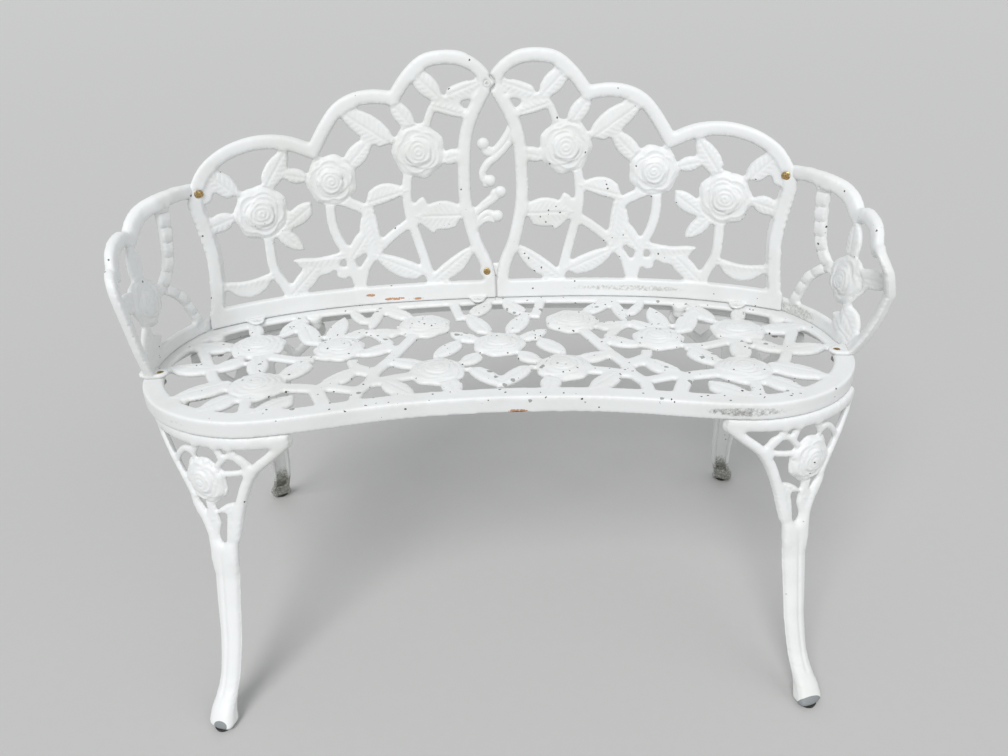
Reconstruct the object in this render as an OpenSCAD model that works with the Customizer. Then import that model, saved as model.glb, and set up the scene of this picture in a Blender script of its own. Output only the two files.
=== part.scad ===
// White cast iron garden bench with rose pattern, two seats wide.
// Units are millimetres, +Z is up, the front of the bench faces -Y and x = 0 is its middle.

/* [Size] */
// Height of the seat top above the ground
seat_height = 420; // [400:1:440]
// Width of the seat casting, end to end
seat_width = 1000; // [970:5:1030]
// Lean of the back from the vertical, degrees
back_lean = 6; // [4:0.5:8]

/* [Castings] */
// Thickness of the seat plate
seat_plate = 8; // [7:0.5:9]
// Height of the skirt round the seat
skirt_height = 24; // [22:1:28]
// Wall of the skirt
skirt_wall = 6; // [5:0.5:7]
// Width of the flat rim round the seat
rim_width = 27; // [25:1:29]
// Thickness of leaves and stems in the back and the arms
leaf_thickness = 7; // [6:0.5:8]
// Width of the rounded outline bars
bar_width = 19; // [18:0.5:20]
// Height of the flat bottom rail of the back
rail_height = 29; // [27:1:31]
// How far a rose stands proud of its leaves
rose_relief = 4; // [3:0.5:5]
// Radius of the casting fillets in the pattern
fillet = 4; // [3:0.5:5]
// Outward lean of the arms in degrees
arm_lean = 7; // [5.5:0.5:8]
// How far the front tube of the left arm bows outward
arm_bow_left = 0; // [0:1:6]
// How far the front tube of the right arm bows outward
arm_bow_right = 27; // [0:1:30]
// How far the front legs are set to the right
front_leg_shift = 6; // [0:1:8]

/* [Screws] */
// Diameter of the screws through the joints
screw_diameter = 5; // [5:0.5:6]
// Diameter of the screw heads
head_diameter = 10.4; // [10:0.2:11]
// Clearance round a screw in its hole
screw_clearance = 0.5; // [0.4:0.1:0.8]
// Small gap left where two castings meet
fit_gap = 0.2; // [0.1:0.05:0.3]

/* [Feet] */
// Thickness of the pad under each foot
glide_height = 4; // [3:0.5:6]
// Diameter of the pad under each foot
glide_diameter = 24; // [22:1:26]

/* [Show] */
// Which piece to show

/* [Hidden] */

middle_x = 6.4;
middle_y = 97.8;

paint = [0.93, 0.94, 0.93];
metal = [0.72, 0.66, 0.5];
dark = [0.16, 0.16, 0.16];

sx = seat_width / 1000;
lean_slope = tan(back_lean);
bore = screw_diameter + screw_clearance;
nut_width = 1.7 * screw_diameter;
nut_height = 0.8 * screw_diameter;
under_plate = seat_height - seat_plate;
skirt_bottom = seat_height - skirt_height;
back_rear = 10;
back_front = -3;
arm_wall = leaf_thickness + 1;

// Plan of the seat, right half from the rear middle round to the front middle
seat_plan = [[0, 328], [100, 325], [200, 314], [300, 295], [380, 267], [440, 231], [478, 185],
    [497, 135], [500, 85], [492, 38], [470, -4], [440, -37], [400, -62], [360, -75], [325, -78],
    [280, -73], [230, -63], [170, -50], [100, -40], [0, -35]];

// Roses of the seat, right half: x, y and radius
seat_roses = [[362, 155, 42], [332, 23, 40], [237, 136, 39], [116, 212, 43], [88, 51, 40]];
// The rose in the middle of the seat
middle_rose = [0, 135, 40];
// Leaves of the seat: base, tip, width and bend
seat_leaves = [[[16, 172], [48, 250], 29, 0], [[42, 248], [11, 303], 27, 0],
    [[32, 148], [74, 181], 24, 0], [[57, 148], [96, 94], 27, 0], [[28, 102], [56, 70], 25, 0],
    [[42, 60], [-6, 0], 25, 0], [[139, 242], [189, 294], 27, 0], [[192, 288], [200, 202], 18, 0],
    [[149, 185], [207, 195], 27, 0], [[206, 203], [237, 162], 24, 0], [[156, 145], [203, 111], 27, 0],
    [[254, 162], [246, 255], 29, 0], [[209, 228], [241, 284], 17, 0], [[276, 152], [311, 238], 31, 0],
    [[309, 262], [337, 188], 29, 0], [[272, 97], [307, 40], 32, 0], [[372, 192], [389, 244], 21, 0],
    [[396, 153], [466, 162], 33, 0], [[369, 112], [406, 77], 28, 0], [[409, 80], [472, 89], 32, 0],
    [[352, 115], [339, 52], 29, 0], [[369, 35], [438, -6], 36, 0], [[352, -2], [391, -44], 31, 0],
    [[272, -12], [321, -54], 29, 0], [[109, 72], [161, 90], 26, 0], [[159, 23], [116, -20], 29, 0],
    [[71, 25], [61, -17], 27, 0], [[206, 63], [247, 20], 27, -5]];
// Stems of the seat: points along the middle and width
seat_stems = [[[[72, 300], [66, 268], [59, 235]], 15],
    [[[131, 172], [144, 135], [159, 92], [174, 58], [179, 25], [192, -2], [192, -34]], 16],
    [[[196, 192], [182, 178], [164, 147]], 15], [[[269, 105], [299, 105], [342, 122]], 16],
    [[[212, 95], [206, 75], [177, 57]], 15], [[[442, 145], [419, 98], [402, 58], [387, 33]], 15],
    [[[337, -8], [330, -57]], 15], [[[296, 18], [259, 13], [247, 2], [230, -40]], 19],
    [[[117, 42], [146, 35], [176, 23]], 17], [[[197, 3], [219, 10], [246, 18]], 15],
    [[[184, 52], [192, 58], [212, 62]], 16]];

// The back panel is drawn flat: distance from the middle along the curve, height above the seat
back_roses = [[116, 241, 42.5], [255, 204, 40], [367, 166, 42.5]];
back_leaves = [[[123, 276], [155, 318], 25, 0], [[155, 252], [236, 308], 35, 2],
    [[232, 220], [188, 264], 28, 0], [[80, 226], [46, 236], 21, 0], [[93, 308], [33, 290], 21, -4],
    [[73, 320], [12, 342], 25, 4], [[79, 318], [122, 361], 29, 0], [[207, 165], [139, 182], 28, -6],
    [[201, 156], [188, 82], 29, 8], [[235, 79], [196, 131], 26, 0], [[293, 211], [330, 220], 21, 0],
    [[358, 200], [318, 256], 29, 0], [[288, 170], [336, 137], 26, 0], [[346, 135], [309, 100], 22, 0],
    [[399, 195], [442, 238], 28, 0], [[410, 164], [452, 154], 26, 0], [[359, 66], [444, 67], 25, -16],
    [[245, 84], [328, 86], 28, -15], [[335, 32], [281, 82], 28, 2], [[104, 35], [34, 88], 26, 5],
    [[114, 43], [198, 81], 28, -4], [[50, 139], [125, 140], 44, 0]];
back_stems = [[[[136, 202], [139, 171], [136, 140], [128, 109], [116, 65], [105, 22]], 14],
    [[[120, 140], [154, 120], [186, 95], [214, 62], [224, 22]], 14],
    [[[261, 168], [261, 140], [253, 109], [238, 78], [226, 22]], 14],
    [[[361, 129], [361, 99], [358, 71], [345, 46], [338, 22]], 14],
    [[[101, 280], [93, 301], [78, 319]], 11], [[[241, 171], [216, 160], [196, 146]], 15],
    [[[115, 132], [125, 154], [111, 166]], 10], [[[118, 134], [105, 122], [96, 115]], 10]];
back_buds = [[251, 56, 10], [446, 201, 10]];
back_arches = [[[1, 338], [21, 361], [46, 374], [76, 376], [103, 370], [128, 349], [150, 320]],
    [[150, 320], [179, 324], [209, 321], [236, 308], [258, 282], [279, 249]],
    [[279, 249], [315, 264], [350, 269], [382, 266], [413, 256], [440, 238], [458, 212]],
    [[458, 214], [461, 192], [456, 165], [450, 134], [447, 109], [448, 78], [451, 46], [457, 8]],
    [[1, 338], [14, 320], [28, 296], [39, 268], [44, 240], [46, 202], [46, 165], [40, 128],
        [30, 90], [16, 58], [9, 20]]];
scrolls_right = [[[38, 276], [28, 258], [11, 241], [-5, 238], [-15, 248]],
    [[31, 262], [10, 234], [-9, 215], [-19, 201], [-10, 190]]];
scrolls_left = [[[42, 122], [26, 146], [8, 161], [-4, 170]], [[36, 112], [20, 129], [2, 134]]];

// The arm is drawn flat: distance from the back panel along the seat end, height above the seat
arm_rail = 20;
arm_rose = [126, 87, 37];
arm_leaves = [[[124, 112], [112, 168], 27, 0], [[146, 100], [192, 104], 26, 0],
    [[138, 56], [176, 20], 24, 0], [[178, 8], [118, 34], 26, -6]];
arm_bars = [[[2, 211], [30, 214], [57, 210], [77, 202], [94, 190], [108, 173]],
    [[108, 173], [124, 179], [142, 176], [158, 169], [170, 155], [177, 138]],
    [[179, 148], [192, 143], [199, 128], [199, 105], [197, 80], [195, 47], [189, 20], [184, 4]]];
arm_vines = [[[[52, 205], [54, 173], [57, 148], [61, 126], [69, 107], [82, 93], [98, 88]], 14],
    [[[84, 92], [71, 83], [55, 68], [46, 49], [38, 28], [33, 16]], 13]];

// The leg is drawn flat: distance along the seat corner, height above the ground
leg_rose = [152, 327, 34];
leg_bars = [[[[36, 381], [58, 364], [80, 347], [94, 324], [104, 299], [112, 270], [119, 243]], 12],
    [[[155, 240], [163, 264], [176, 293], [193, 322], [216, 349], [243, 380]], 10]];
leg_stems = [[[[84, 349], [96, 364], [113, 366], [128, 352]], 7], [[[84, 347], [100, 343], [120, 340]], 7],
    [[[121, 358], [128, 378], [142, 384], [157, 378], [168, 360]], 8],
    [[[162, 368], [180, 366], [196, 354], [210, 335]], 8], [[[88, 350], [102, 366], [114, 386]], 8],
    [[[151, 300], [149, 280], [147, 255]], 13]];
leg_leaves = [[[110, 297], [148, 270], 14, 0], [[182, 296], [150, 254], 16, 0]];
leg_buds = [[144, 262, 13]];
leg_slot = [[125, 284], [141, 281], [138, 265], [143, 250], [140, 236], [134, 236]];
// Both edges of the shank from the knee down: height, inner edge, outer edge
shank_edges = [[290, 103, 121], [270, 110, 169], [245, 116, 163], [220, 118, 161], [200, 120, 161], [150, 123, 161],
    [100, 124, 158], [60, 129, 161], [40, 133, 164], [22, 135, 168], [8, 133, 169], [0, 138, 164]];
// Front of the shank: height, how far the middle stands out, how far the edges fall back from it
shank_front = [[0, 8, 3], [3, 12, 3], [8, 14, 4], [15, 13.5, 5], [24, 11, 5], [34, 6, 5], [46, 2, 5], [60, 0, 5],
    [190, 0, 5], [215, 1.8, 1], [240, 1.8, 0.3]];
shank_depth = 12;

// A smooth curve through hand-set points
function cr(a, b, c, d, t) = 0.5 * (2 * b + (c - a) * t + (2 * a - 5 * b + 4 * c - d) * t * t
    + (3 * b - a - 3 * c + d) * t * t * t);
function at(p, i) = p[max(0, min(len(p) - 1, i))];
function curve_at(p, q) = let (i = min(floor(q), len(p) - 2), t = q - i)
    cr(at(p, i - 1), at(p, i), at(p, i + 1), at(p, i + 2), t);
function smooth(p, steps) = [for (k = [0:(len(p) - 1) * steps]) curve_at(p, k / steps)];
function unit(v) = v / norm(v);
function side(v) = [-v[1], v[0]];
function tangent(p, i) = unit(at(p, i + 1) - at(p, i - 1));

// Flat shapes of the pattern, all as plain point lists
function leaf(a, b, w, bend = 0) = let (d = b - a, n = side(unit(d)))
    concat([for (k = [0:5]) let (u = k / 6) a + d * u + n * (bend * sin(180 * u) + w / 2 * leaf_form(u))],
        [for (k = [6:-1:1]) let (u = k / 6) a + d * u + n * (bend * sin(180 * u) - w / 2 * leaf_form(u))]);
function leaf_form(u) = 0.3 * (1 - u) + pow(sin(180 * pow(u, 0.85)), 0.75) * (0.7 + 0.3 * u) + 0.04;
function ribbon(p, w, steps = 2) = let (c = smooth(p, steps), m = len(c) - 1)
    concat([for (i = [0:m]) c[i] + side(tangent(c, i)) * w / 2],
        [for (i = [m:-1:0]) c[i] - side(tangent(c, i)) * w / 2]);
function rose_outline(c, r, lobes = 7, depth = 0.045, turn = 0) =
    [for (k = [0:27]) let (a = 360 / 28 * k, q = r * (1 + depth * cos(lobes * (a + turn)) - depth))
        [c[0] + q * cos(a), c[1] + q * sin(a)]];
function disc(c, r) = [for (k = [0:11]) [c[0] + r * cos(30 * k), c[1] + r * sin(30 * k)]];

module shapes(list) {
    for (p = list) polygon(p);
}

// Everything stands over the middle of the bench's outline
module standing() {
    translate([-middle_x, -middle_y, 0]) children();
}

// Seat

function seat_edge(q, wide = sx) = let (p = curve_at(seat_plan, q)) [p[0] * wide, p[1]];
function half_plan() = [for (k = [0:(len(seat_plan) - 1) * 3]) seat_edge(k / 3)];
function whole_plan() = let (h = half_plan(), m = len(h) - 1)
    concat(h, [for (i = [m - 1:-1:1]) [-h[i][0], h[i][1]]]);
// The pattern is drawn for a seat 1 m wide and stretches with it
function stretched(list) = [for (p = list) [p[0] * sx, p[1]]];

module seat_outline(inset) {
    offset(delta = -inset) polygon(whole_plan());
}

module seat_half_pattern() {
    shapes([for (v = seat_leaves) stretched(leaf(v[0], v[1], v[2], v[3]))]);
    shapes([for (v = seat_stems) stretched(ribbon(v[0], v[1]))]);
    shapes([for (v = seat_roses) stretched(rose_outline(v, v[2]))]);
}

module seat_pattern() {
    seat_half_pattern();
    mirror([1, 0]) seat_half_pattern();
    polygon(stretched(rose_outline(middle_rose, middle_rose[2])));
}

// The open pattern joined to the flat rim, with casting fillets in every corner
module seat_lattice() {
    offset(delta = 0) intersection() {
        seat_outline(skirt_wall / 2);
        offset(r = -fillet, $fn = 8) offset(r = fillet, $fn = 8) union() {
            seat_pattern();
            difference() {
                seat_outline(0);
                seat_outline(rim_width);
            }
        }
    }
}

// One layer of petals on every rose of the seat
module seat_petals(share, lobes, height) {
    translate([0, 0, seat_height - 1]) linear_extrude(height = height + 1) offset(delta = 0) {
        for (m = [1, -1], v = seat_roses)
            polygon(stretched(rose_outline([m * v[0], v[1]], v[2] * share, lobes, 0.05)));
        polygon(stretched(rose_outline(middle_rose, middle_rose[2] * share, lobes, 0.05)));
    }
}

module seat() {
    color(paint) standing() difference() {
        union() {
            translate([0, 0, under_plate]) linear_extrude(height = seat_plate) seat_lattice();
            translate([0, 0, skirt_bottom]) linear_extrude(height = skirt_height) offset(delta = 0) difference() {
                seat_outline(0);
                seat_outline(skirt_wall);
            }
            seat_petals(0.92, 7, rose_relief * 0.4);
            seat_petals(0.68, 6, rose_relief * 0.7);
            seat_petals(0.4, 5, rose_relief);
            for (p = lug_places())
                translate([p[0], p[1], skirt_bottom]) cylinder(h = skirt_height - 2, d = lug_diameter, $fn = 48);
        }
        for (p = lug_places())
            translate([p[0], p[1], skirt_bottom - 1]) cylinder(h = leg_thread + 1, d = screw_diameter, $fn = 32);
        for (p = concat(tab_points(), arm_seat_points()))
            translate([p[0], p[1], under_plate - 1]) cylinder(h = seat_plate + 2, d = bore, $fn = 32);
    }
}

// Curved castings: a bent shell cuts the flat pattern to its true shape

module shell_between(a, b) {
    ni = len(a) - 1;
    nj = len(a[0]) - 1;
    w = nj + 1;
    o = (ni + 1) * w;
    polyhedron(points = [for (g = [a, b]) for (r = g) for (p = r) p], convexity = 6, faces = concat(
        [for (i = [0:ni - 1], j = [0:nj - 1]) [i * w + j, i * w + j + 1, (i + 1) * w + j + 1]],
        [for (i = [0:ni - 1], j = [0:nj - 1]) [i * w + j, (i + 1) * w + j + 1, (i + 1) * w + j]],
        [for (i = [0:ni - 1], j = [0:nj - 1]) [o + i * w + j, o + (i + 1) * w + j + 1, o + i * w + j + 1]],
        [for (i = [0:ni - 1], j = [0:nj - 1]) [o + i * w + j, o + (i + 1) * w + j, o + (i + 1) * w + j + 1]],
        [for (i = [0:ni - 1]) each quad(i * w, (i + 1) * w, o + (i + 1) * w, o + i * w)],
        [for (i = [0:ni - 1]) each quad((i + 1) * w + nj, i * w + nj, o + i * w + nj, o + (i + 1) * w + nj)],
        [for (j = [0:nj - 1]) each quad(j + 1, j, o + j, o + j + 1)],
        [for (j = [0:nj - 1]) each quad(ni * w + j, ni * w + j + 1, o + ni * w + j + 1, o + ni * w + j)]));
}
function quad(a, b, c, d) = [[a, b, c], [a, c, d]];

// Running length along a list of plan points, as a table from length to place
function lengths(p, i = 0, sum = 0) = i >= len(p) ? []
    : concat([[sum, i]], lengths(p, i + 1, sum + (i < len(p) - 1 ? norm(p[i + 1] - p[i]) : 0)));
function place(p, table, s) = let (q = lookup(s, table), i = min(floor(q), len(p) - 2)) p[i] + (p[i + 1] - p[i]) * (q - i);
function facing(p, table, s) = side(unit(place(p, table, s + 4) - place(p, table, s - 4)));

module upright(angle, reach, depth) {
    rotate([0, 0, angle]) translate([0, reach, 0]) rotate([90, 0, 0]) linear_extrude(height = depth) children();
}

// Back panels

back_plan = [for (k = [-20:10:520]) let (x = abs(k) / 1000) [k * sx, 317 - 220.6 * x * x - 1376 * pow(x, 4)]];
back_table = [for (v = lengths(back_plan)) [v[0] - norm(back_plan[1] - back_plan[0]) - norm(back_plan[2] - back_plan[1]), v[1]]];
function back_spot(s) = place(back_plan, back_table, s * sx);
function back_surface(s, z, n) = let (p = back_spot(s) + facing(back_plan, back_table, s * sx) * n)
    [p[0], p[1] + z * lean_slope, z + seat_height];
function back_flat(list) = [for (p = list) [back_spot(p[0])[0], p[1] + seat_height]];

module back_shell(n0, n1) {
    steps = [-16, 0, 60, 120, 180, 230, 270, 310, 345, 375, 400, 425, 450, 480];
    shell_between([for (s = steps) [for (z = [-2, 400]) back_surface(s, z, n0)]],
        [for (s = steps) [for (z = [-2, 400]) back_surface(s, z, n1)]]);
}

module back_leafwork(scrolls) {
    shapes([for (v = back_leaves) back_flat(leaf(v[0], v[1], v[2], v[3]))]);
    shapes([for (v = back_stems) back_flat(ribbon(v[0], v[1]))]);
    shapes([for (v = back_buds) back_flat(disc(v, v[2]))]);
    shapes([for (v = back_roses) back_flat(rose_outline(v, v[2]))]);
    shapes([for (v = scrolls) back_flat(ribbon(v, 10))]);
    shapes([for (v = scrolls) back_flat(disc(v[len(v) - 1], 9))]);
}

module back_frame() {
    intersection() {
        union() {
            shapes([for (v = back_arches) back_flat(ribbon(v, bar_width, 3))]);
            polygon(concat(back_flat([for (k = [0:23]) [k * 466 / 23, fit_gap]]),
                back_flat([for (k = [23:-1:0]) [k * 466 / 23, rail_height]])));
            shapes([back_flat(disc([458, 213], bar_width / 2)), back_flat(disc([279, 250], bar_width / 2)),
                back_flat(disc([150, 321], bar_width / 2))]);
        }
        translate([fit_gap * 3, seat_height + fit_gap]) square([seat_width, seat_height]);
    }
}

module back_panel(scrolls) {
    intersection() {
        upright(0, 460, 400) offset(r = -fillet, $fn = 8) offset(r = fillet, $fn = 8) union() {
            back_leafwork(scrolls);
            back_frame();
        }
        back_shell(0, leaf_thickness);
    }
    intersection() {
        upright(0, 460, 400) offset(r = -fillet, $fn = 8) offset(r = fillet, $fn = 8) back_frame();
        back_shell(back_front, back_rear);
    }
    intersection() {
        upright(0, 460, 400) shapes([for (v = back_roses) back_flat(rose_outline(v, v[2] - 4, 7, 0.05))]);
        back_shell(-rose_relief * 0.5, 2);
    }
    intersection() {
        upright(0, 460, 400) shapes([for (v = back_roses) back_flat(rose_outline(v, v[2] * 0.5, 5, 0.06))]);
        back_shell(-rose_relief * 1.2, 2);
    }
}

// Places of the joints

lug_diameter = 22;
leg_thread = 14;
lap_height = back_arches[0][0][1];
low_joint = [-15, 46];
arm_joint = [453, 208];
tab_reach = 14;
function tab_points() = [for (s = [-398, -32, 398]) let (a = abs(s), m = s < 0 ? -1 : 1, p = back_spot(a),
    n = facing(back_plan, back_table, a * sx)) [m * (p[0] - n[0] * tab_reach), p[1] - n[1] * tab_reach]];
function arm_seat_points() = [for (m = [-1, 1]) [m * 474 * sx, 63]];
lug_inset = 25;
// The seat's ears stand inside the legs' aprons, near both ends of each
lug_along = [44, 214];
function leg_lugs() = [for (rear = [false, true], t = lug_along) let (q = leg_surface(rear, t, skirt_bottom, lug_inset)) [q[0], q[1]]];
// The same four places on both halves; the front ones follow the front legs' shift
function lug_places() = [for (m = [-1, 1], i = [0:3]) let (p = leg_lugs()[i]) [m * p[0] + (i < 2 ? front_leg_shift : 0), p[1]]];

// One plate with a bore, standing in the leaning plane of the back at the middle
module leaning(x, z) {
    translate([x, 317 + z * lean_slope, seat_height + z]) rotate([-back_lean, 0, 0]) rotate([-90, 0, 0]) children();
}

module tab(p, from) {
    difference() {
        translate([0, 0, seat_height + fit_gap]) linear_extrude(height = 5) hull() {
            translate(p) circle(d = 22, $fn = 32);
            translate(from) circle(d = 30, $fn = 32);
        }
        translate([p[0], p[1], seat_height - 1]) cylinder(h = 8, d = bore, $fn = 32);
        translate([p[0], p[1], seat_height + 5 + fit_gap - countersink])
            cylinder(h = countersink + 0.01, d1 = bore, d2 = head_diameter + 0.4, $fn = 32);
    }
}
countersink = (head_diameter - screw_diameter) / 2;

module back_panel_right() {
    color(paint) standing() difference() {
        union() {
            difference() {
                back_panel(scrolls_right);
                leaning(-5, lap_height) translate([0, 0, -12]) cylinder(h = 15.2, d = 25, $fn = 48);
            }
            leaning(-5, lap_height) translate([0, 0, 3.2 + fit_gap]) linear_extrude(height = 6) hull() {
                circle(d = 22, $fn = 32);
                translate([14, 0]) circle(d = 20, $fn = 32);
            }
            leaning(low_joint[0], low_joint[1]) translate([0, 0, 5 + fit_gap]) linear_extrude(height = 5) hull() {
                circle(d = 22, $fn = 32);
                translate([27, 0]) circle(d = 22, $fn = 32);
            }
            tab(tab_points()[2], back_spot(398));
        }
        leaning(-5, lap_height) translate([0, 0, -20]) cylinder(h = 40, d = bore, $fn = 32);
        leaning(low_joint[0], low_joint[1]) translate([0, 0, -20]) cylinder(h = 40, d = bore, $fn = 32);
        arm_joint_cut(1);
        arm_joint_bore(1);
    }
}

module back_panel_left() {
    color(paint) standing() difference() {
        union() {
            difference() {
                mirror([1, 0, 0]) back_panel(scrolls_left);
                leaning(-5, lap_height) translate([0, 0, 3.2]) cylinder(h = 15, d = 25, $fn = 48);
                leaning(low_joint[0], low_joint[1]) translate([0, 0, 5]) linear_extrude(height = 12) hull() {
                    circle(d = 25, $fn = 32);
                    translate([27, 0]) circle(d = 25, $fn = 32);
                }
            }
            leaning(-5, lap_height) translate([0, 0, -3]) linear_extrude(height = 6.2) polygon([[-14, 0], [-8, 11], [2, 10],
                [13, 0], [2, -10], [-8, -11]]);
            leaning(low_joint[0], low_joint[1]) translate([0, 0, -3]) cylinder(h = 8, d = 22, $fn = 48);
            tab(tab_points()[0], [-back_spot(398)[0], back_spot(398)[1]]);
            tab(tab_points()[1], [-back_spot(32)[0], back_spot(32)[1]]);
        }
        leaning(-5, lap_height) translate([0, 0, -20]) cylinder(h = 40, d = bore, $fn = 32);
        leaning(-5, lap_height) translate([0, 0, -3.01])
            cylinder(h = countersink, d1 = head_diameter + 0.4, d2 = bore, $fn = 32);
        leaning(low_joint[0], low_joint[1]) translate([0, 0, -20]) cylinder(h = 40, d = bore, $fn = 32);
        leaning(low_joint[0], low_joint[1]) translate([0, 0, -3.01])
            cylinder(h = countersink, d1 = head_diameter + 0.4, d2 = bore, $fn = 32);
        arm_joint_cut(-1);
        arm_joint_bore(-1);
    }
}

// The joint between back and arm: a frame with its z axis pointing out of the rear of the back
arm_normal = facing(back_plan, back_table, arm_joint[0] * sx);
arm_angle = atan2(arm_normal[1], arm_normal[0]) - 90;
module arm_joint_frame(m) {
    p = back_surface(arm_joint[0], arm_joint[1], 0);
    mirror([m < 0 ? 1 : 0, 0, 0]) translate(p) rotate([0, 0, arm_angle]) rotate([-90, 0, 0]) children();
}
lap_at = 7.5;
module arm_joint_cut(m) {
    arm_joint_frame(m) {
        translate([-13.5, -13, lap_at]) cube([40, 26, 12]);
        translate([0, 0, -3.2 - 12]) cylinder(h = 12, d = 17, $fn = 48);
    }
}
module arm_joint_bore(m) {
    arm_joint_frame(m) {
        translate([0, 0, -20]) cylinder(h = 40, d = bore, $fn = 32);
        translate([0, 0, -3.21]) cylinder(h = countersink, d1 = head_diameter + 0.4, d2 = bore, $fn = 32);
    }
}

// Arms

arm_plan = [[448, 236], [460, 217], [474, 190], [486, 158], [492, 124], [494, 90], [492, 62], [487, 36], [478, 12]];
arm_points = [for (p = smooth(arm_plan, 3)) [p[0] * sx, p[1]]];
arm_table = lengths(arm_points);
arm_chord = unit(arm_points[len(arm_points) - 1] - arm_points[0]);
arm_turn = atan2(arm_chord[1], arm_chord[0]);
function flare(t) = let (u = max(0, min(1, (t - 20) / 85))) u * u * (3 - 2 * u);
// How the bow of the front tube grows and fades with height
arm_bow_share = [[0, 0.2], [25, 0.55], [60, 0.84], [95, 1], [125, 0.6], [150, 0]];
function arm_bow(t, z) = max(0, min(1, (t - 150) / 35)) * lookup(z, arm_bow_share);
function arm_surface(t, z, n, bow) = let (p = place(arm_points, arm_table, t), d = facing(arm_points, arm_table, t),
    w = max(0, 1 - t / 60), q = p + d * (n + tan(arm_lean) * z * flare(t) + bow * arm_bow(t, z))) [q[0], q[1] + w * z * lean_slope, z + seat_height];
function arm_flat(list, bow) = [for (p = list) [arm_surface(p[0], p[1], 0, bow) * [arm_chord[0], arm_chord[1], 0], p[1] + seat_height]];

module arm_shell(n0, n1, bow) {
    steps = [-0.1, 20, 40, 60, 80, 105, 130, 150, 168, 185, 232];
    levels = [-2, 25, 60, 95, 125, 150, 240];
    shell_between([for (t = steps) [for (z = levels) arm_surface(t, z, n0, bow)]],
        [for (t = steps) [for (z = levels) arm_surface(t, z, n1, bow)]]);
}

module arm_tubes(bow) {
    shapes([for (v = arm_bars) arm_flat(ribbon(v, bar_width * 0.95), bow)]);
    shapes([for (v = [[108, 173], [186, 146]]) arm_flat(disc(v, bar_width * 0.47), bow)]);
}

// Leaves, vines, rose, tubes and rail of one arm, laid flat
module arm_pattern(bow) {
    offset(r = -fillet, $fn = 8) offset(r = fillet, $fn = 8) union() {
        shapes([for (v = arm_leaves) arm_flat(leaf(v[0], v[1], v[2], v[3]), bow)]);
        shapes([for (v = arm_vines) arm_flat(ribbon(v[0], v[1]), bow)]);
        polygon(arm_flat(rose_outline(arm_rose, arm_rose[2]), bow));
        arm_tubes(bow);
        polygon(concat(arm_flat([for (k = [0:12]) [1 + k * 15, 0]], bow),
            arm_flat([for (k = [12:-1:0]) [1 + k * 15, arm_rail]], bow)));
    }
}

module arm_layer(n0, n1, bow) {
    intersection() {
        upright(arm_turn, 620, 240) children();
        arm_shell(n0, n1, bow);
    }
}

module arm_body(bow) {
    difference() {
        union() {
            arm_layer(-arm_wall, 0, bow) arm_pattern(bow);
            arm_layer(-arm_wall - 3, 3, bow) offset(delta = 0) arm_tubes(bow);
            arm_layer(-arm_wall - rose_relief * 0.5, -2, bow)
                polygon(arm_flat(rose_outline(arm_rose, arm_rose[2] - 4, 7, 0.05), bow));
            arm_layer(-arm_wall - rose_relief * 1.2, -2, bow)
                polygon(arm_flat(rose_outline(arm_rose, arm_rose[2] * 0.5, 5, 0.06), bow));
            arm_joint_frame(1) translate([0, 0, lap_at + fit_gap]) linear_extrude(height = 7) hull() {
                circle(d = 22, $fn = 32);
                translate([20, -6]) square([6, 12]);
            }
            tab(arm_seat_points()[1], [490 * sx, 66]);
        }
        arm_joint_bore(1);
        translate([300, -100, seat_height + fit_gap - 20]) cube([400, 400, 20]);
    }
}

module arm_right() {
    color(paint) standing() arm_body(arm_bow_right);
}

module arm_left() {
    color(paint) standing() mirror([1, 0, 0]) arm_body(arm_bow_left);
}

// Legs

function corner_points(from, to, wide = sx) = [for (k = [0:24]) seat_edge(from + (to - from) * k / 24, wide)];
front_corner = corner_points(15.6, 8.3);
rear_corner = corner_points(2.62, 7.1);
// How much longer the corner is than on the seat that the leg is drawn for
function run(c) = lengths(c)[len(c) - 1][0];
front_stretch = run(front_corner) / run(corner_points(15.6, 8.3, 1));
rear_stretch = run(rear_corner) / run(corner_points(2.62, 7.1, 1));
function leg_stretch(rear) = rear ? rear_stretch : front_stretch;
function leg_points(rear) = rear ? rear_corner : front_corner;
function splay(rear, z) = let (d = max(0, skirt_bottom - z)) rear ? [0.0002, 0.00076] * d * d : [0.00002, -0.00074] * d * d;
function leg_inward(rear) = rear ? -1 : 1;
function leg_z(z) = z * skirt_bottom / 396;
function leg_surface(rear, t, z, n) = let (c = leg_points(rear), k = lengths(c), along = t * leg_stretch(rear), p = place(c, k, along),
    d = facing(c, k, along) * leg_inward(rear), q = p + d * n + splay(rear, z)) [q[0], q[1], z];
function leg_chord(rear) = let (c = leg_points(rear)) unit(place(c, lengths(c), 245) - place(c, lengths(c), 30));
function leg_flat(rear, list) = let (e = leg_chord(rear))
    [for (p = list) [leg_surface(rear, p[0], leg_z(p[1]), 0) * [e[0], e[1], 0], leg_z(p[1])]];

function leg_upper_levels() = [for (z = [226, 250, 275, 300, 325, 350, 375, 400]) leg_z(z)];

// A closed skin between two surfaces of a leg; the rear legs bend the other way
module leg_skin(rear, front, back) {
    shell_between(rear ? back : front, rear ? front : back);
}

module leg_shell(rear, n0, n1) {
    steps = [20, 50, 80, 105, 130, 155, 175, 195, 215, 235, 262];
    leg_skin(rear, [for (t = steps) [for (z = leg_upper_levels()) leg_surface(rear, t, z, n0)]],
        [for (t = steps) [for (z = leg_upper_levels()) leg_surface(rear, t, z, n1)]]);
}

module leg_upright(rear) {
    e = leg_chord(rear);
    upright(atan2(e[1], e[0]), rear ? 620 : 0, rear ? 600 : 420) children();
}

module leg_layer(rear, n0, n1) {
    intersection() {
        leg_upright(rear) children();
        leg_shell(rear, n0, n1);
    }
}

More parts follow.
